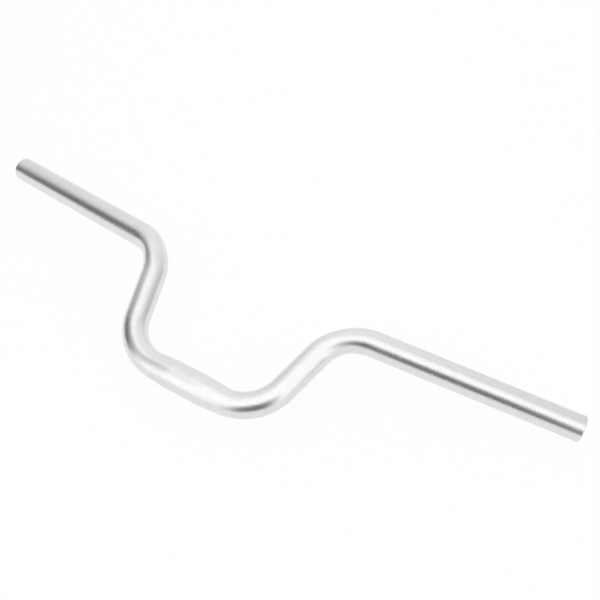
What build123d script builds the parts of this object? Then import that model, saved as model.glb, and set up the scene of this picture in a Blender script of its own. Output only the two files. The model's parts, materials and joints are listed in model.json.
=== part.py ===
"""Riser handlebar: one aluminium tube, bent from a swaged centre into two legs and two grips.

The bar lies as it comes to rest on a floor: on the underside of its clamp zone and on the
rims of its two ends. The origin is the centre of the clamp zone. X runs along the clamp zone
to the rider's left, the legs reach towards +Y, and +Z is up, which is the bar's front.
"""
from build123d import *
from math import cos, pi, radians, sin, sqrt, tan
import os

# Overall sizes, in millimetres
bar_width = 583.0
rise = 97.0

# Tube
clamp_diameter = 25.4
grip_diameter = 22.2
wall = 2.2

# Centre: a parallel clamp zone, and at each side a smooth taper down to the grip diameter, which was
# swaged before the tube was bent and so ends a little way into the lower bend
clamp_length = 24.0
taper_length = 32.0
taper_in_bend = 11.4

# Directions, in degrees: legs lean outwards, grips sweep back and up
leg_lean = 14.7
backsweep = 10.9
upsweep = 6.9

# Bends: radius of the centreline, and the share of its width that the tube loses in mid bend
lower_bend_radius = 42.0
upper_bend_radius = 43.0
upper_bend_flattening = 0.09

# Ends, cut square and deburred
rim_chamfer = 0.6
bore_chamfer = 0.4

clamp_radius = clamp_diameter / 2
grip_radius = grip_diameter / 2


def turn_between(before, after):
    """The angle between two directions, in radians."""
    return radians(before.get_angle(after))


# Directions of the straight runs on the rider's left, with the legs upright: X left, Y back, Z up
along_clamp = Vector(1, 0, 0)
along_leg = Vector(sin(radians(leg_lean)), 0, cos(radians(leg_lean)))
along_grip = Vector(
    cos(radians(backsweep)) * cos(radians(upsweep)),
    sin(radians(backsweep)) * cos(radians(upsweep)),
    sin(radians(upsweep)),
)

# Corners of the centreline: each bend starts where its straight run ends
clamp_run_length = clamp_length / 2 + taper_length - taper_in_bend
lower_set_back = lower_bend_radius * tan(turn_between(along_clamp, along_leg) / 2)
lower_corner = along_clamp * (clamp_run_length + lower_set_back)
upper_corner = lower_corner + along_leg * (rise / along_leg.Z)
grip_reach = (bar_width / 2 - upper_corner.X) / along_grip.X
bar_end = upper_corner + along_grip * grip_reach


def rim_clearance(tip):
    """Height of the end rim's lowest point over the clamp zone's, with the legs tipped up by an angle."""
    up = Vector(0, -cos(tip), sin(tip))
    slope = along_grip.dot(up)
    rim_height = (bar_end - along_grip * rim_chamfer).dot(up) - grip_radius * sqrt(1 - slope**2)
    return rim_height + clamp_radius


def resting_tip():
    """The angle from the floor to the legs' plane at which clamp zone and rims touch the floor together."""
    low, high = 0.0, pi / 3
    for _ in range(50):
        middle = (low + high) / 2
        if rim_clearance(middle) > 0:
            high = middle
        else:
            low = middle
    return middle


tip = resting_tip()
lying = Plane(origin=(0, 0, 0), x_dir=(1, 0, 0), z_dir=(0, cos(tip), sin(tip)))

# Centreline of the left-hand side, from the middle of the clamp zone to the end of the grip
corners = [lying.from_local_coords(point) for point in (Vector(0, 0, 0), lower_corner, upper_corner, bar_end)]
with BuildLine() as centreline:
    FilletPolyline(*corners, radius=[lower_bend_radius, upper_bend_radius])
clamp_run, lower_bend, leg_run, upper_bend, grip_run = centreline.edges().sort_by(Axis.X)
taper_foot = taper_in_bend / lower_bend.length
tapering_bend = lower_bend.trim(0, taper_foot)
plain_bend = lower_bend.trim(taper_foot, 1)


def taper_radius(to_foot):
    """The outside radius at a distance before the taper's foot: a cubic S that is level at both ends."""
    share = to_foot / taper_length
    return grip_radius + (clamp_radius - grip_radius) * share**2 * (3 - 2 * share)


def taper_slope(to_foot):
    """How fast the outside radius falls towards the taper's foot, at a distance before it."""
    share = to_foot / taper_length
    return (clamp_radius - grip_radius) * 6 * share * (1 - share) / taper_length


def round_rod(path, inset):
    """A round rod along a straight run or a bend, its radius less than the grip's by inset."""
    with BuildPart() as rod:
        with BuildSketch(Plane(origin=path @ 0, z_dir=path % 0)):
            Circle(grip_radius - inset)
        sweep(path=path)
    return rod.part


def shaped_rod(bend, outlines):
    """A rod along a bend through three outlines, each with a radius towards the bend's centre and one across."""
    sections = []
    for share, (inward_radius, across_radius) in zip((0, 0.5, 1), outlines):
        inwards = bend.arc_center - bend @ share
        with BuildSketch(Plane(origin=bend @ share, x_dir=inwards, z_dir=bend % share)) as section:
            Ellipse(inward_radius, across_radius)
        sections.append(section.sketch)
    with BuildPart() as rod:
        sweep(sections=sections, path=bend, multisection=True)
    return rod.part


def tapering_rod():
    """The last stretch of the taper, which already follows the lower bend."""
    radii = [taper_radius(taper_in_bend * share) for share in (1, 0.5, 0)]
    return shaped_rod(tapering_bend, [(radius, radius) for radius in radii])


def flattened_rod(inset):
    """The upper bend, which is round at its ends and narrower towards the bend's centre in the middle."""
    squeezes = (0, grip_radius * upper_bend_flattening, 0)
    return shaped_rod(
        upper_bend,
        [(grip_radius - squeeze - inset, grip_radius + squeeze - inset) for squeeze in squeezes],
    )


def side_rod(lower_rods, inset):
    """The left-hand side as a solid rod: the rods given for the lower bend, then leg, upper bend and grip."""
    with BuildPart() as side:
        add(lower_rods)
        add(round_rod(leg_run, inset))
        add(flattened_rod(inset))
        add(round_rod(grip_run, inset))
    return side.part


def centre_outside():
    """The straight centre as a solid of revolution: the clamp zone, and each taper up to its bend."""
    shoulder = clamp_length / 2
    bend_radius = taper_radius(taper_in_bend)
    falling = (1, -taper_slope(taper_in_bend))
    with BuildPart() as centre:
        with BuildSketch():
            with BuildLine():
                Line((0, 0), (0, clamp_radius))
                Line((0, clamp_radius), (shoulder, clamp_radius))
                Spline((shoulder, clamp_radius), (clamp_run_length, bend_radius), tangents=((1, 0), falling))
                Polyline((clamp_run_length, bend_radius), (clamp_run_length, 0), (0, 0))
            make_face()
            mirror(about=Plane.YZ)
        revolve(axis=Axis.X)
    return centre.part


def centre_bore():
    """The bore of the straight centre, which opens out in a cone under each taper."""
    shoulder = clamp_length / 2
    wide = clamp_radius - wall
    narrow = grip_radius - wall
    with BuildPart() as bore:
        with BuildSketch():
            Polygon(
                (0, 0), (0, wide), (shoulder, wide), (clamp_run_length, narrow), (clamp_run_length, 0),
                align=None,
            )
            mirror(about=Plane.YZ)
        revolve(axis=Axis.X)
    return bore.part


outer_side = side_rod([tapering_rod(), round_rod(plain_bend, 0)], 0)
inner_side = side_rod([round_rod(lower_bend, wall)], wall)
outer_centre = centre_outside()
inner_centre = centre_bore()

with BuildPart() as handlebar:
    add(outer_side)
    add(inner_side, mode=Mode.SUBTRACT)
    end_face = handlebar.faces().filter_by(GeomType.PLANE).sort_by(Axis.X)[-1]
    bore_edge, rim_edge = end_face.edges().sort_by(SortBy.LENGTH)
    chamfer(rim_edge, rim_chamfer)
    chamfer(bore_edge, bore_chamfer)
    mirror(about=Plane.YZ)
    add(outer_centre)
    add(inner_centre, mode=Mode.SUBTRACT)

handlebar.part.label = "handlebar"
os.makedirs("parts", exist_ok=True)
export_step(handlebar.part, "parts/handlebar.step")
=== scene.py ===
"""Riser handlebar: one aluminium tube, bent and satin finished, lying on a plain pale floor.

The bar lies on the underside of its clamp zone and on the rims of its two ends. The origin is
the centre of the clamp zone, X runs to the rider's left and +Z is up. Lengths are in metres.

Sizes, finishes and the studio are settings of the scene, and three operators make the camera,
the tube and the stage from them.
"""

import json
from collections import namedtuple
from math import atan2, cos, degrees, pi, radians, sin, tan

import bmesh
import bpy
import numpy as np
from bpy.props import FloatProperty, FloatVectorProperty, IntProperty, PointerProperty
from bpy.types import Operator, Panel, PropertyGroup
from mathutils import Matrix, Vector


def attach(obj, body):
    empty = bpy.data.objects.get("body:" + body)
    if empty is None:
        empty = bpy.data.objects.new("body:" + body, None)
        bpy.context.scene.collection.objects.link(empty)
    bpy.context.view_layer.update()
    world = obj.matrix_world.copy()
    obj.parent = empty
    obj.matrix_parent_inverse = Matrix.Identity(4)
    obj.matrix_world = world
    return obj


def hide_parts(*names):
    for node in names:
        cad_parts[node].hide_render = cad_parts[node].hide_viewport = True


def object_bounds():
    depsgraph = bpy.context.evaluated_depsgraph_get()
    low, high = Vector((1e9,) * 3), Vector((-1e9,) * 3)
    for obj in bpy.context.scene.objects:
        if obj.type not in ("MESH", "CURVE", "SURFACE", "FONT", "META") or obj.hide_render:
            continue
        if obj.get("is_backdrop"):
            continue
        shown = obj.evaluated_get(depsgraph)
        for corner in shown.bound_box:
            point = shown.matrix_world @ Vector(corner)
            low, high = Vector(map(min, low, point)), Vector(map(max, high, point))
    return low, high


bl_info = {
    "name": "Riser Handlebar",
    "version": (1, 0, 0),
    "blender": (4, 5, 0),
    "location": "View3D > Sidebar > Handlebar",
    "description": "Adds a bent tube handlebar with a satin aluminium finish, and a plain studio for it",
    "category": "Add Mesh",
}

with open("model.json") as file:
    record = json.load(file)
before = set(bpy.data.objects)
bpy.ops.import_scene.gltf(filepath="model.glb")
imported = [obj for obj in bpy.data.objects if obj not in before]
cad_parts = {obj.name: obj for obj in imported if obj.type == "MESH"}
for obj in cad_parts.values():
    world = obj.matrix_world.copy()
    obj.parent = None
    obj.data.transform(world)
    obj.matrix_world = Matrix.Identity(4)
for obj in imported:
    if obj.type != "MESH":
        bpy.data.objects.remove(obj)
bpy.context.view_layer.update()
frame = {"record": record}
mounts = {mount["name"]: mount for mount in frame["record"]["mounts"]}

MM = 0.001

# Sizes that the frame's own values are read with: a chamfer in metres, and two angles in degrees
RIM_CHAMFER = 0.6 * MM
BACKSWEEP = 10.9
UPSWEEP = 6.9

# Width of the camera's sensor, in millimetres
SENSOR_WIDTH = 36.0


def mount_size(name, key):
    """A mount's size from the frame's record, in metres."""
    return mounts[name]["dims"][key] * MM


# Sizes


def length(name, description, default):
    """A length that a user can change, in metres."""
    return FloatProperty(
        name=name, description=description, default=default, min=0.0, precision=5, unit="LENGTH")


def angle(name, description, default):
    """An angle that a user can change, given in degrees and kept in radians."""
    return FloatProperty(name=name, description=description, default=radians(default), unit="ROTATION")


def share(name, description, default):
    """A number from nothing to one that a user can change."""
    return FloatProperty(
        name=name, description=description, default=default, min=0.0, max=1.0, subtype="FACTOR")


def amount(name, description, default):
    """A plain number that a user can change."""
    return FloatProperty(name=name, description=description, default=default, min=0.0, precision=3)


def colour(name, description, default):
    """A colour that a user can change."""
    return FloatVectorProperty(
        name=name, description=description, default=default, size=3, min=0.0, max=1.0, subtype="COLOR")


def point(name, description, default):
    """A point that a user can change, in metres."""
    return FloatVectorProperty(
        name=name, description=description, default=default, size=3, subtype="XYZ", unit="LENGTH")


def frame_tip(backsweep, upsweep):
    """The angle in degrees from the floor to the legs' plane, from how the left grip lies in the frame."""
    grip_axis = mounts["left_grip"]["axis"]
    lying = atan2(grip_axis[2], grip_axis[1])
    upright = atan2(sin(radians(upsweep)), sin(radians(backsweep)) * cos(radians(upsweep)))
    return degrees(lying - upright + pi / 2)


def frame_width(rim_chamfer):
    """The distance between the centres of the two end faces, from the left grip's mount in the frame."""
    grip = mounts["left_grip"]
    reach = mount_size("left_grip", "length_mm") / 2 + rim_chamfer
    return 2 * (grip["pos_m"][0] + grip["axis"][0] * reach)


class TubeSizes(PropertyGroup):
    """Sizes of the bent tube. Angles are those of the upright bar, as it sits on a bicycle."""

    width: length("Width", "Distance between the centres of the two ends", frame_width(RIM_CHAMFER))
    rise: length("Rise", "Height of the upper corners over the clamp zone, upright", 97 * MM)
    clamp_diameter: length(
        "Clamp diameter", "Outside of the clamp zone", 2 * mount_size("stem_clamp", "r_mm"))
    clamp_length: length(
        "Clamp length", "Length of the parallel clamp zone", mount_size("stem_clamp", "length_mm"))
    taper_length: length("Taper length", "Length of each taper beside the clamp zone", 32 * MM)
    taper_in_bend: length("Taper in bend", "Length of each taper that lies in the lower bend", 11.4 * MM)
    grip_diameter: length(
        "Grip diameter", "Outside of the legs and grips", 2 * mount_size("left_grip", "r_mm"))
    bore_diameter: length(
        "Bore diameter", "Inside of the grips", 2 * mount_size("left_bar_end", "r_mm"))
    leg_lean: angle("Leg lean", "How far the legs lean outwards", 14.7)
    backsweep: angle("Backsweep", "How far the grips sweep back", BACKSWEEP)
    upsweep: angle("Upsweep", "How far the grips sweep up", UPSWEEP)
    tip: angle(
        "Tip", "How far the legs rise from the floor as the bar lies", frame_tip(BACKSWEEP, UPSWEEP))
    lower_bend_radius: length(
        "Lower bend radius", "Radius of the centreline beside the clamp zone", 42 * MM)
    upper_bend_radius: length(
        "Upper bend radius", "Radius of the centreline between leg and grip", 43 * MM)
    flattening: share("Flattening", "Share of its width that the tube loses in mid upper bend", 0.09)
    rim_chamfer: length("Rim chamfer", "Chamfer outside each end", RIM_CHAMFER)
    bore_chamfer: length("Bore chamfer", "Chamfer inside each end", 0.4 * MM)
    edge_softness: length("Edge softness", "How far each chamfer's edges are rounded off", 0.12 * MM)
    around: IntProperty(name="Facets around", description="Facets round the tube", default=120, min=12)


class FinishSettings(PropertyGroup):
    """Colours and surface detail of the satin outside, the drawn bore and the faced ends."""

    satin_colour: colour("Satin colour", "Colour of the satin outside", (0.86, 0.86, 0.86))
    drawn_colour: colour("Drawn colour", "Colour of the drawn bore", (0.74, 0.74, 0.75))
    faced_colour: colour("Faced colour", "Colour of the cut ends", (0.80, 0.80, 0.80))
    satin_roughness: share("Satin roughness", "Roughness of the satin outside", 0.28)
    drawn_roughness: share("Drawn roughness", "Roughness of the drawn bore", 0.65)
    faced_roughness: share("Faced roughness", "Roughness of the cut ends", 0.24)
    grain_size: length("Grain size", "Distance between pits of the blasted grain", 0.8 * MM)
    grain_depth: length("Grain depth", "Depth of the blasted grain", 0.09 * MM)
    # Painted shade: the grain's pits are coloured darker by this share
    grain_contrast: share("Pit shade contrast", "How much darker the pits are", 0.13)
    cloud_size: length("Cloud size", "Size of the soft clouds in the finish", 9 * MM)
    cloud_contrast: share("Cloud contrast", "How much darker the clouds are", 0.03)
    streak_depth: length("Streak depth", "Depth of the streaks drawn along the bore", 0.008 * MM)
    streak_contrast: share("Streak contrast", "How much darker the streaks are", 0.2)
    ring_depth: length("Ring depth", "Depth of the rings turned on the cut ends", 0.004 * MM)
    ring_contrast: share("Ring contrast", "How much darker the rings are", 0.07)


class CardSettings(PropertyGroup):
    """A card on the tent, in one direction from its middle. Its sizes are those at a distance of one.

    From the card's middle out to its inner half sizes it has its own brightness, which fades into the
    tent's towards its outer half sizes.
    """

    azimuth: angle("Azimuth", "Direction of the card, from the front to the left", 0.0)
    elevation: angle("Elevation", "Height of the card over the horizon", 0.0)
    inner_width: amount("Inner width", "Half of the even part's width", 0.0)
    outer_width: amount("Outer width", "Half of the whole card's width", 0.5)
    inner_height: amount("Inner height", "Half of the even part's height", 0.0)
    outer_height: amount("Outer height", "Half of the whole card's height", 0.5)
    brightness: amount("Brightness", "Brightness of the even part, where white is one", 0.0)


class StudioSettings(PropertyGroup):
    """Camera, floor and light tent."""

    camera_azimuth: angle("Camera azimuth", "Direction of the camera, from the front to the left", 31.64)
    camera_elevation: angle("Camera elevation", "Height of the camera over the horizon", 49.385)
    camera_distance: length("Camera distance", "Distance from the camera to its target", 0.81886)
    camera_target: point(
        "Camera target", "Point in the middle of the picture", (0.05093, 0.09181, 0.04412))
    focal_length: FloatProperty(
        name="Focal length", description="Lens, on a 36 mm wide sensor", default=60.0, unit="CAMERA")
    floor_size: length("Floor size", "Length of each side of the floor", 8.0)
    floor_colour: colour("Floor colour", "Colour of the floor", (0.97, 0.97, 0.97))
    floor_glow: share("Floor glow", "Share of plain white in the floor as it is seen", 0.95)
    tent_radius: length("Tent radius", "Radius of the round light tent", 0.93)
    tent_middle: point("Tent middle", "Middle of the round light tent", (0.0, 0.09, 0.02))
    tent_light: amount("Tent light", "Brightness of the tent round the bar", 0.447)
    tent_tilt: FloatVectorProperty(
        name="Tent tilt", description="Brightness gained towards the left, the back and the top",
        size=3, subtype="XYZ", default=(-0.149, 0.411, 0.34))
    softbox: PointerProperty(
        type=CardSettings, name="Softbox", description="Long soft light in front and overhead")
    side_card: PointerProperty(
        type=CardSettings, name="Side card", description="Dark card beyond the right grip")
    front_card: PointerProperty(
        type=CardSettings, name="Front card", description="Grey card in front of the bar")


# The cards' own defaults
CARD_DEFAULTS = {
    "softbox": {
        "azimuth": radians(0.0), "elevation": radians(34.1),
        "inner_width": 6.0, "outer_width": 7.0,
        "inner_height": 0.0, "outer_height": 4.7, "brightness": 1.33,
    },
    "side_card": {
        "azimuth": radians(-68.3), "elevation": radians(15.0),
        "inner_width": 0.01, "outer_width": 0.67,
        "inner_height": 0.13, "outer_height": 1.41, "brightness": 0.08,
    },
    "front_card": {
        "azimuth": radians(27.0), "elevation": radians(-11.5),
        "inner_width": 0.3, "outer_width": 0.8,
        "inner_height": 0.95, "outer_height": 1.79, "brightness": 0.15,
    },
}


def fill_cards(studio):
    """Gives each card its own defaults, which one PropertyGroup for all of them can't hold."""
    for name, defaults in CARD_DEFAULTS.items():
        card = getattr(studio, name)
        for setting, value in defaults.items():
            setattr(card, setting, value)


# The tube's surface

# The order of the materials on the mesh
SATIN, DRAWN, FACED = range(3)

# One run of the centreline. It leaves start in the direction along, and curves in the direction towards,
# which is any direction across it for a straight run. The directions first and second cross the tube at its
# start: the surface's own angle is counted from first to second.
Run = namedtuple("Run", "length curvature start along towards first second")

# The place of the upper bend among the runs
UPPER_BEND = 3

# Steps between the rings of points on the clamp zone, taper, lower bend, leg, upper bend and grip
RING_STEPS = np.array((3.0, 0.8, 1.2, 3.0, 1.2, 4.0)) * MM


def unit(vector):
    """The vector at a length of one."""
    return vector / np.linalg.norm(vector)


def side_corners(sizes):
    """Corners of the left-hand centreline, from the middle of the clamp zone to the end.

    Upright, each corner is the one before it plus a run in the direction of the clamp zone, leg or grip.
    The upright bar is then tipped about X, so that up becomes the direction along the floor, raised by tip.
    """
    along_clamp = np.array((1.0, 0.0, 0.0))
    along_leg = np.array((sin(sizes.leg_lean), 0.0, cos(sizes.leg_lean)))
    along_grip = np.array((
        cos(sizes.backsweep) * cos(sizes.upsweep),
        sin(sizes.backsweep) * cos(sizes.upsweep),
        sin(sizes.upsweep),
    ))
    clamp_run = sizes.clamp_length / 2 + sizes.taper_length - sizes.taper_in_bend
    lower = along_clamp * (clamp_run + sizes.lower_bend_radius * tan((pi / 2 - sizes.leg_lean) / 2))
    upper = lower + along_leg * (sizes.rise / along_leg[2])
    end = upper + along_grip * ((sizes.width / 2 - upper[0]) / along_grip[0])
    tipped = np.array((
        (1.0, 0.0, 0.0),
        (0.0, sin(sizes.tip), -cos(sizes.tip)),
        (0.0, cos(sizes.tip), sin(sizes.tip)),
    ))
    return np.array((np.zeros(3), lower, upper, end)) @ tipped


def turned(vectors, axis, angles):
    """Vectors turned about an axis: the part across it by cosine and sine, the part along it kept."""
    c, s = np.cos(angles)[:, None], np.sin(angles)[:, None]
    return vectors * c + np.cross(axis, vectors) * s + axis * (vectors @ axis)[:, None] * (1 - c)


def run_at(run, distance):
    """Centre, first and second along a run, at distances from its start.

    An arc goes forwards by sin(angle) / curvature and sideways by (1 - cos(angle)) / curvature. With sinc,
    the same formula holds for a straight run, whose curvature is nothing.
    """
    angles = distance * run.curvature
    forwards = distance * np.sinc(angles / pi)
    sideways = distance * angles / 2 * np.sinc(angles / (2 * pi)) ** 2
    centre = run.start + forwards[:, None] * run.along + sideways[:, None] * run.towards
    axis = np.cross(run.along, run.towards)
    first = turned(np.tile(run.first, (len(distance), 1)), axis, angles)
    second = turned(np.tile(run.second, (len(distance), 1)), axis, angles)
    return centre, first, second


def side_runs(sizes):
    """The left-hand centreline as five runs: clamp zone with taper, lower bend, leg, upper bend and grip.

    A bend of radius r that turns by an angle starts r * tan(angle / 2) before its corner. The crossing
    directions are carried from run to run without twist, by turning them with each bend.
    """
    corners = side_corners(sizes)
    directions = [unit(after - before) for before, after in zip(corners, corners[1:])]
    start, first = corners[0], np.array((0.0, 0.0, 1.0))
    second = np.cross(directions[0], first)
    runs = []
    radii = (sizes.lower_bend_radius, sizes.upper_bend_radius)
    for corner, along, after, radius in zip(corners[1:], directions, directions[1:], radii):
        turn = np.arccos(along @ after)
        bend_start = corner - along * radius * tan(turn / 2)
        straight = (bend_start - start) @ along
        if straight < 0:
            raise ValueError("the bends are too large for the runs between them")
        towards = unit(after - along * (along @ after))
        runs.append(Run(straight, 0.0, start, along, towards, first, second))
        bend = Run(radius * turn, 1 / radius, bend_start, along, towards, first, second)
        runs.append(bend)
        centre, firsts, seconds = run_at(bend, np.array((bend.length,)))
        start, first, second = centre[0], firsts[0], seconds[0]
    grip_length = np.linalg.norm(corners[-1] - start)
    runs.append(Run(grip_length, 0.0, start, directions[-1], first, first, second))
    return runs


def profile(sizes, runs):
    """The tube's outline lengthwise, as distances from the middle and radii, in one closed loop.

    It goes out along the left-hand outside, round the rim and back along the bore, and the right-hand side
    is its mirror image. Each taper is an S that is level at both ends: with t from nothing to one along it,
    the radius falls by 3 t² - 2 t³ of the whole drop. The bore opens out in a cone up to the clamp zone. It
    has half as many rings as the outside. The second result is the material of each ring of faces, which
    starts at a point of the outline. The rim's first ring is still satin, and its last two are drawn.
    """
    clamp, grip, bore = sizes.clamp_diameter / 2, sizes.grip_diameter / 2, sizes.bore_diameter / 2
    shoulder = sizes.clamp_length / 2
    clamp_run, end = runs[0].length, sum(run.length for run in runs)
    stretches = np.array((shoulder, clamp_run - shoulder, *(run.length for run in runs[1:])))
    counts = np.ceil(stretches / RING_STEPS).astype(int)
    starts = np.concatenate(((0.0,), np.cumsum(stretches)[:-1]))
    outside = np.concatenate([
        np.linspace(start, start + stretch, count, endpoint=False)
        for start, stretch, count in zip(starts, stretches, counts)
    ])
    t = np.clip((outside - shoulder) / sizes.taper_length, 0, 1)
    outside_radius = clamp - (clamp - grip) * t ** 2 * (3 - 2 * t)

    wall = grip - bore
    inside = outside[::-2]
    inside_radius = np.interp(inside, (shoulder, clamp_run), (clamp - wall, bore))

    rim_start = end - 3 * sizes.rim_chamfer
    rim = soften(np.array((
        (rim_start, grip),
        (end - sizes.rim_chamfer, grip),
        (end, grip - sizes.rim_chamfer),
        (end, bore + sizes.bore_chamfer),
        (end - sizes.bore_chamfer, bore),
        (rim_start, bore),
    )), sizes.edge_softness)
    last_ring = rim_start - sizes.rim_chamfer
    outward = np.stack((outside, outside_radius), 1)[outside < last_ring]
    homeward = np.stack((inside, inside_radius), 1)[inside < last_ring]
    left_hand = np.concatenate((outward, rim, homeward, ((0.0, clamp - wall),)))
    right_hand = left_hand[-2:0:-1] * (-1.0, 1.0)
    kinds = np.repeat((SATIN, FACED, DRAWN), (len(outward) + 1, len(rim) - 3, len(homeward) + 2))
    return np.concatenate((left_hand, right_hand)), np.concatenate((kinds, kinds[::-1]))


def soften(points, softness, steps=4, flat_share=1.6):
    """A line whose inner corners are rounded, each by a parabola in a few steps.

    The parabola is (1 - t)² before + 2 t (1 - t) corner + t² after, where before and after lie on the line
    at the softness from the corner. A point further out on each side, at flat_share times the softness,
    keeps the flat beside it flat.
    """
    corner = points[1:-1]
    before = corner + softness * unit_rows(points[:-2] - corner)
    after = corner + softness * unit_rows(points[2:] - corner)
    t = np.linspace(0, 1, steps + 1)[None, :, None]
    curve = (1 - t) ** 2 * before[:, None] + 2 * t * (1 - t) * corner[:, None] + t ** 2 * after[:, None]
    outer_before = corner + flat_share * (before - corner)
    outer_after = corner + flat_share * (after - corner)
    curve = np.concatenate((outer_before[:, None], curve, outer_after[:, None]), 1)
    return np.concatenate((points[:1], curve.reshape(-1, 2), points[-1:]))


def unit_rows(vectors):
    """Each row at a length of one."""
    return vectors / np.linalg.norm(vectors, axis=1, keepdims=True)


def tube_surface(sizes):
    """Points of the tube's surface on a grid of rings and angles, and their places if it were straight.

    A point is centre + radius * d + swell * (across part of d - inward part of d), with the direction
    d = first * cos(angle) + second * sin(angle). The swell grows as sin² along an upper bend. The
    right-hand half is the mirror image of the left. The third result is the material of each ring of faces.
    """
    runs = side_runs(sizes)
    line, kinds = profile(sizes, runs)
    distance, radius = np.abs(line[:, 0]), line[:, 1]
    side = np.where(line[:, 0] < 0, -1.0, 1.0)
    ends = np.cumsum([run.length for run in runs])
    index = np.minimum(np.searchsorted(ends, distance, side="left"), len(runs) - 1)
    centre, first, second = (np.zeros((len(line), 3)) for _ in range(3))
    for number, run in enumerate(runs):
        on_run = index == number
        local = distance[on_run] - (ends[number] - run.length)
        centre[on_run], first[on_run], second[on_run] = run_at(run, local)

    bend = runs[UPPER_BEND]
    bend_share = np.clip((distance - ends[UPPER_BEND - 1]) / bend.length, 0, 1)
    swell = sizes.flattening * sizes.grip_diameter / 2 * np.sin(pi * bend_share) ** 2
    axis = np.cross(bend.along, bend.towards)
    inwards = turned(np.tile(bend.towards, (len(line), 1)), axis, bend_share * bend.length * bend.curvature)

    angles = np.arange(sizes.around) * 2 * pi / sizes.around
    d = first[:, None] * np.cos(angles)[:, None] + second[:, None] * np.sin(angles)[:, None]
    inward_part = (d * inwards[:, None]).sum(2, keepdims=True) * inwards[:, None]
    across_part = (d @ axis)[:, :, None] * axis
    points = centre[:, None] + radius[:, None, None] * d
    points += swell[:, None, None] * (across_part - inward_part)
    points[..., 0] *= side[:, None]

    straightened = np.empty_like(points)
    straightened[..., 0] = radius[:, None] * np.cos(angles)
    straightened[..., 1] = radius[:, None] * np.sin(angles)
    straightened[..., 2] = line[:, :1]
    return points, straightened, kinds


def grid_quads(rings, around):
    """Corner numbers of the quads of a grid that closes both ways, in the order that faces outwards."""
    ring, step = (part.ravel() for part in np.meshgrid(np.arange(rings), np.arange(around), indexing="ij"))
    next_ring, next_step = (ring + 1) % rings, (step + 1) % around
    return np.stack((
        ring * around + step,
        ring * around + next_step,
        next_ring * around + next_step,
        next_ring * around + step,
    ), 1)


def make_tube(sizes, materials):
    """The tube as one closed mesh, which rides on the root body in the place of the frame's own node."""
    points, straightened, kinds = tube_surface(sizes)
    rings, around = points.shape[:2]
    quads = grid_quads(rings, around)
    mesh = bpy.data.meshes.new("bent_tube")
    mesh.from_pydata(points.reshape(-1, 3).tolist(), [], quads.tolist())
    mesh.polygons.foreach_set("use_smooth", np.ones(len(quads), bool))
    mesh.polygons.foreach_set("material_index", np.repeat(kinds, around).astype(np.int32))
    attribute = mesh.attributes.new("straightened", "FLOAT_VECTOR", "POINT")
    attribute.data.foreach_set("vector", straightened.astype(np.float32).ravel())
    for material in materials:
        mesh.materials.append(material)
    mesh.update()
    tube = bpy.data.objects.new("bent_tube", mesh)
    bpy.context.scene.collection.objects.link(tube)
    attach(tube, "root")
    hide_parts("handlebar")


# Finishes

# The middle of a noise's range
NOISE_LOW, NOISE_HIGH = 0.3, 0.7

# The satin's roughness in its clearest and in its dullest clouds, as factors
CLEAREST, DULLEST = 0.985, 1.05

# Streaks per metre on the straightened tube, which runs along Z
STREAKS_ALONG = (1400.0, 1400.0, 30.0)

# Rings per metre of radius on the end faces
RINGS_ROUND = (9000.0, 1.0, 1.0)


def add_node(tree, kind, inputs=None, **settings):
    """A new node with its settings. Each named input gets a plain value or another node's output."""
    node = tree.nodes.new(kind)
    for name, value in settings.items():
        setattr(node, name, value)
    for name, value in (inputs or {}).items():
        if isinstance(value, bpy.types.NodeSocket):
            tree.links.new(value, node.inputs[name])
        else:
            node.inputs[name].default_value = value
    return node


def math(tree, operation, left, right=0.0):
    """A Math node's output. Each side is a number or another node's output."""
    return add_node(tree, "ShaderNodeMath", {0: left, 1: right}, operation=operation).outputs["Value"]


def ramp(tree, value, low, high, to_low, to_high):
    """A Map Range node's output: smoothly from to_low to to_high as the value goes from low to high."""
    inputs = {"Value": value, "From Min": low, "From Max": high, "To Min": to_low, "To Max": to_high}
    return add_node(tree, "ShaderNodeMapRange", inputs, interpolation_type="SMOOTHSTEP").outputs["Result"]


def noise(tree, vector, scale, detail, roughness):
    """A Noise Texture's output."""
    inputs = {"Vector": vector, "Scale": scale, "Detail": detail, "Roughness": roughness}
    return add_node(tree, "ShaderNodeTexNoise", inputs).outputs["Fac"]


def new_group(name, inputs, outputs):
    """A node group with named inputs and outputs, and its tree's two end nodes."""
    tree = bpy.data.node_groups.new(name, "ShaderNodeTree")
    for kind, title in inputs:
        tree.interface.new_socket(title, in_out="INPUT", socket_type=kind)
    for kind, title in outputs:
        tree.interface.new_socket(title, in_out="OUTPUT", socket_type=kind)
    return tree, tree.nodes.new("NodeGroupInput"), tree.nodes.new("NodeGroupOutput")


def place_group(tree, group, inputs):
    """A node group placed in a material, with its own values."""
    return add_node(tree, "ShaderNodeGroup", inputs, node_tree=group)


def grain_group():
    """Blasted grain: shallow pits as a height, and soft clouds as a mask."""
    tree, start, end = new_group(
        "Grain",
        (
            ("NodeSocketVector", "Vector"),
            ("NodeSocketFloat", "Pit scale"),
            ("NodeSocketFloat", "Cloud scale"),
        ),
        (("NodeSocketFloat", "Height"), ("NodeSocketFloat", "Clouds")),
    )
    vector = start.outputs["Vector"]
    pits = noise(tree, vector, start.outputs["Pit scale"], detail=1.0, roughness=0.5)
    clouds = noise(tree, vector, start.outputs["Cloud scale"], detail=4.0, roughness=0.6)
    tree.links.new(pits, end.inputs["Height"])
    tree.links.new(clouds, end.inputs["Clouds"])
    return tree


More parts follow.
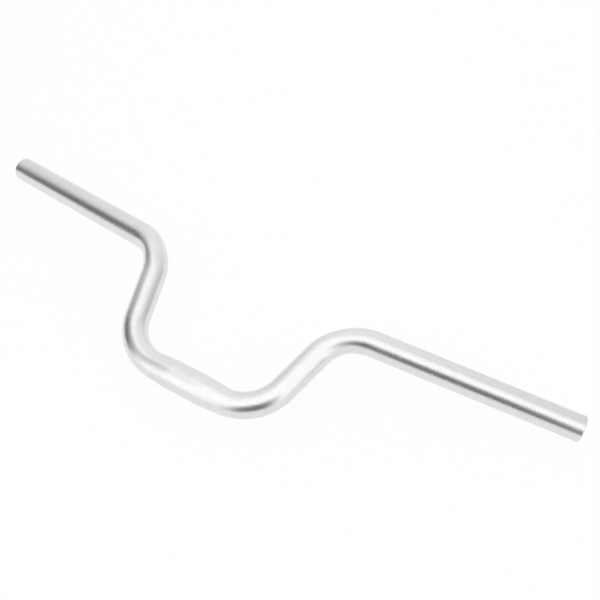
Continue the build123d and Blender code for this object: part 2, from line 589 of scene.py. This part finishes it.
def streak_group():
    """Streaks: noise stretched along or round the tube, as a height."""
    tree, start, end = new_group(
        "Streaks",
        (("NodeSocketVector", "Vector"), ("NodeSocketVector", "Stretch")),
        (("NodeSocketFloat", "Height"),),
    )
    stretched = {"Vector": start.outputs["Vector"], "Scale": start.outputs["Stretch"]}
    mapping = add_node(tree, "ShaderNodeMapping", stretched)
    height = noise(tree, mapping.outputs["Vector"], scale=1.0, detail=3.0, roughness=0.6)
    tree.links.new(height, end.inputs["Height"])
    return tree


def new_metal(name, base, roughness):
    """A metal material with its tree, shader and the attribute of the straightened tube."""
    material = bpy.data.materials.new(name)
    material.use_nodes = True
    tree = material.node_tree
    shader = tree.nodes["Principled BSDF"]
    shader.inputs["Base Color"].default_value = (*base, 1.0)
    shader.inputs["Metallic"].default_value = 1.0
    shader.inputs["Roughness"].default_value = roughness
    along_tube = add_node(tree, "ShaderNodeAttribute", attribute_name="straightened")
    return material, tree, shader, along_tube.outputs["Vector"]


def spread(tree, mask, low, high):
    """A factor that goes smoothly from low to high over the middle of a noise's range."""
    return ramp(tree, mask, NOISE_LOW, NOISE_HIGH, low, high)


def tint(tree, shader, base, factor):
    """Gives the shader its base colour times a factor."""
    scaled = add_node(tree, "ShaderNodeVectorMath", {0: tuple(base), "Scale": factor}, operation="SCALE")
    tree.links.new(scaled.outputs["Vector"], shader.inputs["Base Color"])


def add_bump(tree, shader, height, depth):
    """A Bump node of this depth in front of the shader's normal."""
    bump = add_node(tree, "ShaderNodeBump", {"Strength": 1.0, "Distance": depth, "Height": height})
    tree.links.new(bump.outputs["Normal"], shader.inputs["Normal"])


def satin_material(finish, grain):
    """The outside: blasted and anodised, with a fine grain, painted shade in the grain's pits and soft
    clouds.
    """
    base, roughness = finish.satin_colour, finish.satin_roughness
    material, tree, shader, vector = new_metal("satin_aluminium", base, roughness)
    scales = {"Vector": vector, "Pit scale": 1 / finish.grain_size, "Cloud scale": 1 / finish.cloud_size}
    spots = place_group(tree, grain, scales)
    height, clouds = spots.outputs["Height"], spots.outputs["Clouds"]
    clouded = spread(tree, clouds, roughness * CLEAREST, roughness * DULLEST)
    tree.links.new(clouded, shader.inputs["Roughness"])
    cloud_factor = spread(tree, clouds, 1.0, 1.0 - finish.cloud_contrast)
    # Painted shade: the colour is darker where the grain's height is low, in its pits
    pit_shade_factor = spread(tree, height, 1.0 - finish.grain_contrast, 1.0)
    tint(tree, shader, base, math(tree, "MULTIPLY", cloud_factor, pit_shade_factor))
    add_bump(tree, shader, height, finish.grain_depth)
    return material


def drawn_material(finish, streaks):
    """The bore, left as drawn: duller, with streaks along the tube."""
    base, roughness = finish.drawn_colour, finish.drawn_roughness
    material, tree, shader, vector = new_metal("drawn_aluminium", base, roughness)
    lines = place_group(tree, streaks, {"Vector": vector, "Stretch": STREAKS_ALONG})
    height = lines.outputs["Height"]
    tint(tree, shader, base, spread(tree, height, 1.0 - finish.streak_contrast, 1.0))
    add_bump(tree, shader, height, finish.streak_depth)
    return material


def faced_material(finish, streaks):
    """The chamfers and end faces: turned, with fine rings round the bore."""
    base, roughness = finish.faced_colour, finish.faced_roughness
    material, tree, shader, vector = new_metal("faced_aluminium", base, roughness)
    flat = add_node(tree, "ShaderNodeVectorMath", {0: vector, 1: (1.0, 1.0, 0.0)}, operation="MULTIPLY")
    radius = add_node(tree, "ShaderNodeVectorMath", {0: flat.outputs["Vector"]}, operation="LENGTH")
    rings = add_node(tree, "ShaderNodeCombineXYZ", {"X": radius.outputs["Value"]})
    lines = place_group(tree, streaks, {"Vector": rings.outputs["Vector"], "Stretch": RINGS_ROUND})
    height = lines.outputs["Height"]
    tint(tree, shader, base, spread(tree, height, 1.0 - finish.ring_contrast, 1.0))
    add_bump(tree, shader, height, finish.ring_depth)
    return material


# The studio

WHITE = (1.0, 1.0, 1.0, 1.0)

# A ray's least part towards a card, so that nothing is divided by zero
LEAST_DEPTH = 0.001

# How often the faces of the tent's ball are split
TENT_SPLITS = 4


def direction(azimuth, elevation):
    """The unit vector at an azimuth, counted from -Y towards +X, and an elevation over the horizon."""
    return Vector((sin(azimuth) * cos(elevation), -cos(azimuth) * cos(elevation), sin(elevation)))


def make_camera(studio):
    """The camera, which looks down on the bar from its front left."""
    camera = bpy.data.objects.new("camera", bpy.data.cameras.new("camera"))
    camera.data.lens = studio.focal_length
    camera.data.sensor_width = SENSOR_WIDTH
    back = direction(studio.camera_azimuth, studio.camera_elevation)
    camera.location = Vector(studio.camera_target) + back * studio.camera_distance
    camera.rotation_euler = (-back).to_track_quat("-Z", "Y").to_euler()
    bpy.context.scene.collection.objects.link(camera)
    bpy.context.scene.camera = camera


def seen_ray(tree):
    """One for a ray of the camera, or off metal or glass, and nothing for one that gathers diffuse light."""
    light_path = tree.nodes.new("ShaderNodeLightPath")
    seen = math(tree, "MAXIMUM", light_path.outputs["Is Camera Ray"], light_path.outputs["Is Glossy Ray"])
    return math(tree, "MAXIMUM", seen, light_path.outputs["Is Transmission Ray"])


def make_floor(studio, height):
    """A plain pale floor, which keeps the bar's shadow faintly."""
    half = studio.floor_size / 2
    mesh = bpy.data.meshes.new("floor")
    corners = ((-half, -half, height), (half, -half, height), (half, half, height), (-half, half, height))
    mesh.from_pydata(corners, [], [(0, 1, 2, 3)])
    material = bpy.data.materials.new("pale_floor")
    material.use_nodes = True
    tree = material.node_tree
    shader = tree.nodes["Principled BSDF"]
    shader.inputs["Base Color"].default_value = (*studio.floor_colour, 1.0)
    shader.inputs["Roughness"].default_value = 1.0
    shader.inputs["Specular IOR Level"].default_value = 0.0
    glow = add_node(tree, "ShaderNodeEmission", {"Color": WHITE, "Strength": 1.0})
    seen = math(tree, "MULTIPLY", seen_ray(tree), studio.floor_glow)
    mix = add_node(tree, "ShaderNodeMixShader", {0: seen, 1: shader.outputs[0], 2: glow.outputs[0]})
    tree.links.new(mix.outputs[0], tree.nodes["Material Output"].inputs["Surface"])
    mesh.materials.append(material)
    floor = bpy.data.objects.new("floor", mesh)
    bpy.context.scene.collection.objects.link(floor)
    floor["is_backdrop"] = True


def dot(tree, vector, axis):
    """The part of a node's vector along an axis."""
    product = add_node(tree, "ShaderNodeVectorMath", {0: vector, 1: axis}, operation="DOT_PRODUCT")
    return product.outputs["Value"]


def add_card(tree, ray, level, card):
    """The brightness in a ray's direction, with a card added to the level of brightness so far.

    With the ray's parts across, up and towards the card, the card covers those rays whose across and up
    parts, divided by the part towards it, are smaller than its half width and half height.
    """
    towards = direction(card.azimuth, card.elevation)
    across = Vector((cos(card.azimuth), sin(card.azimuth), 0.0))
    depth = dot(tree, ray, towards)
    cover = math(tree, "GREATER_THAN", depth, 0.0)
    for axis, inner, outer in (
        (across, card.inner_width, card.outer_width),
        (across.cross(towards), card.inner_height, card.outer_height),
    ):
        off = math(tree, "DIVIDE", dot(tree, ray, axis), math(tree, "MAXIMUM", depth, LEAST_DEPTH))
        edge = ramp(tree, math(tree, "ABSOLUTE", off), inner, outer, 1.0, 0.0)
        cover = math(tree, "MULTIPLY", cover, edge)
    change = math(tree, "SUBTRACT", card.brightness, level)
    return math(tree, "ADD", level, math(tree, "MULTIPLY", cover, change))


def make_tent(studio):
    """The light tent: a glowing sphere with a softbox and two cards, which the metal reflects.

    The camera doesn't see it. Its brightness at a point depends on the direction there from its middle. The
    metal finds it by reflection alone, which is quicker here than picking points of the tent as lamps.
    """
    mesh = bpy.data.meshes.new("tent")
    shape = bmesh.new()
    bmesh.ops.create_icosphere(shape, subdivisions=TENT_SPLITS, radius=studio.tent_radius)
    shape.to_mesh(mesh)
    shape.free()
    material = bpy.data.materials.new("tent_light")
    material.use_nodes = True
    material.cycles.emission_sampling = "NONE"
    tree = material.node_tree
    place = tree.nodes.new("ShaderNodeTexCoord").outputs["Object"]
    ray = add_node(tree, "ShaderNodeVectorMath", {0: place}, operation="NORMALIZE").outputs["Vector"]
    level = math(tree, "ADD", studio.tent_light, dot(tree, ray, studio.tent_tilt))
    for card in (studio.softbox, studio.side_card, studio.front_card):
        level = add_card(tree, ray, level, card)
    glow = add_node(tree, "ShaderNodeEmission", {"Color": WHITE, "Strength": level})
    tree.links.new(glow.outputs[0], tree.nodes["Material Output"].inputs["Surface"])
    mesh.materials.append(material)
    tent = bpy.data.objects.new("tent", mesh)
    tent.location = studio.tent_middle
    tent.visible_camera = False
    bpy.context.scene.collection.objects.link(tent)
    tent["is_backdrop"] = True


def make_world():
    """White all round, which is what the camera sees behind the floor."""
    world = bpy.data.worlds.new("white")
    world.use_nodes = True
    world.node_tree.nodes["Background"].inputs["Color"].default_value = WHITE
    bpy.context.scene.world = world


# Operators and panel


class HANDLEBAR_OT_add_camera(Operator):
    """Add the camera that looks down on the bar from its front left"""

    bl_idname = "handlebar.add_camera"
    bl_label = "Add Camera"

    def execute(self, context):
        make_camera(context.scene.handlebar_studio)
        return {"FINISHED"}


class HANDLEBAR_OT_add_tube(Operator):
    """Add the bent tube with its satin outside, drawn bore and faced ends"""

    bl_idname = "handlebar.add_tube"
    bl_label = "Add Bent Tube"

    def execute(self, context):
        finish = context.scene.handlebar_finish
        grain, streaks = grain_group(), streak_group()
        materials = (
            satin_material(finish, grain),
            drawn_material(finish, streaks),
            faced_material(finish, streaks),
        )
        make_tube(context.scene.handlebar_sizes, materials)
        return {"FINISHED"}


class HANDLEBAR_OT_add_stage(Operator):
    """Add the plain floor under the bar, the light tent round it and the white beyond"""

    bl_idname = "handlebar.add_stage"
    bl_label = "Add Stage"

    def execute(self, context):
        studio = context.scene.handlebar_studio
        make_floor(studio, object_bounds()[0].z)
        make_tent(studio)
        make_world()
        context.scene.view_settings.view_transform = "Standard"
        return {"FINISHED"}


def list_settings(layout, group):
    """Lists a group's settings, with those of each card in a box of their own."""
    for name in group.__annotations__:
        setting = getattr(group, name)
        if isinstance(setting, PropertyGroup):
            box = layout.box()
            box.label(text=group.bl_rna.properties[name].name)
            list_settings(box, setting)
        else:
            layout.prop(group, name)


class HANDLEBAR_PT_sidebar(Panel):
    """The bar's sizes, finishes and studio, and the buttons that make them"""

    bl_idname = "HANDLEBAR_PT_sidebar"
    bl_label = "Riser Handlebar"
    bl_space_type = "VIEW_3D"
    bl_region_type = "UI"
    bl_category = "Handlebar"

    def draw(self, context):
        for operator in (HANDLEBAR_OT_add_camera, HANDLEBAR_OT_add_tube, HANDLEBAR_OT_add_stage):
            self.layout.operator(operator.bl_idname)
        scene = context.scene
        for group in (scene.handlebar_sizes, scene.handlebar_finish, scene.handlebar_studio):
            list_settings(self.layout.box(), group)


CLASSES = (
    TubeSizes,
    FinishSettings,
    CardSettings,
    StudioSettings,
    HANDLEBAR_OT_add_camera,
    HANDLEBAR_OT_add_tube,
    HANDLEBAR_OT_add_stage,
    HANDLEBAR_PT_sidebar,
)


def register():
    """Registers the classes, and gives the scene its settings."""
    for cls in CLASSES:
        bpy.utils.register_class(cls)
    bpy.types.Scene.handlebar_sizes = PointerProperty(type=TubeSizes)
    bpy.types.Scene.handlebar_finish = PointerProperty(type=FinishSettings)
    bpy.types.Scene.handlebar_studio = PointerProperty(type=StudioSettings)


def unregister():
    """Takes the settings and the classes away again."""
    del bpy.types.Scene.handlebar_studio
    del bpy.types.Scene.handlebar_finish
    del bpy.types.Scene.handlebar_sizes
    for cls in reversed(CLASSES):
        bpy.utils.unregister_class(cls)


def main():
    """Makes the camera, the tube and the stage."""
    register()
    fill_cards(bpy.context.scene.handlebar_studio)
    bpy.ops.handlebar.add_camera()
    bpy.ops.handlebar.add_tube()
    bpy.ops.handlebar.add_stage()


if __name__ == "__main__":
    main()
